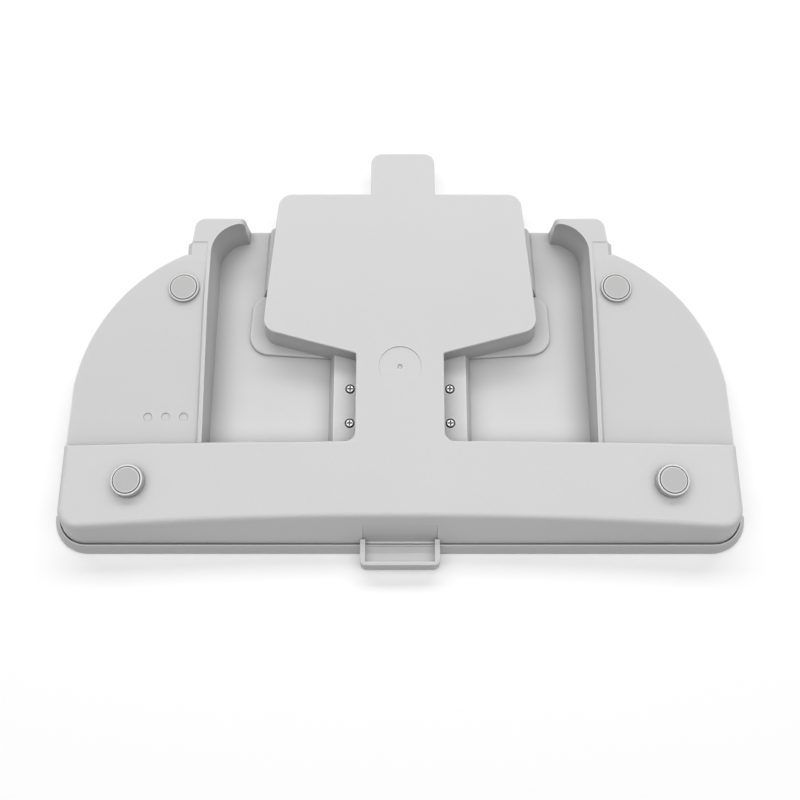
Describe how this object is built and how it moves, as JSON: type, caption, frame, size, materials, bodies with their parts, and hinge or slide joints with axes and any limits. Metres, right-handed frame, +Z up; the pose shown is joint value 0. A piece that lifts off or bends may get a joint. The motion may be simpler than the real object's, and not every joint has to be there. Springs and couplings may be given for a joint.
{
  "type": "robot vacuum dock tray",
  "caption": "Moulded dock tray shown underside up: rounded hollow wings, guide walls, T-shaped screwed channel cover, rubber feet, sloping front lip and a small pull handle.",
  "frame": {"origin": "on the floor, mid-width and mid-depth of the whole part", "axes": "+X across the tray, +Y from the pull handle towards the tab, +Z up, away from the floor; the feet point up"},
  "size_m": [0.3538, 0.2288, 0.0255],
  "materials": {
    "shell_plastic": "fine matte moulded plastic, light grey",
    "cover_plastic": "fine matte moulded plastic, light grey",
    "lip_plastic": "fine matte moulded plastic, light grey",
    "foot_rubber": "soft matte grey rubber",
    "screw_steel": "plated steel, satin"
  },
  "bodies": {
    "root": {"tray_shell": "shell_plastic", "channel_cover": "cover_plastic", "front_lip": "lip_plastic", "foot_front_left": "foot_rubber", "foot_front_right": "foot_rubber", "foot_back_left": "foot_rubber", "foot_back_right": "foot_rubber", "screw_front_left": "screw_steel", "screw_front_right": "screw_steel", "screw_back_left": "screw_steel", "screw_back_right": "screw_steel"}
  },
  "joints": []
}
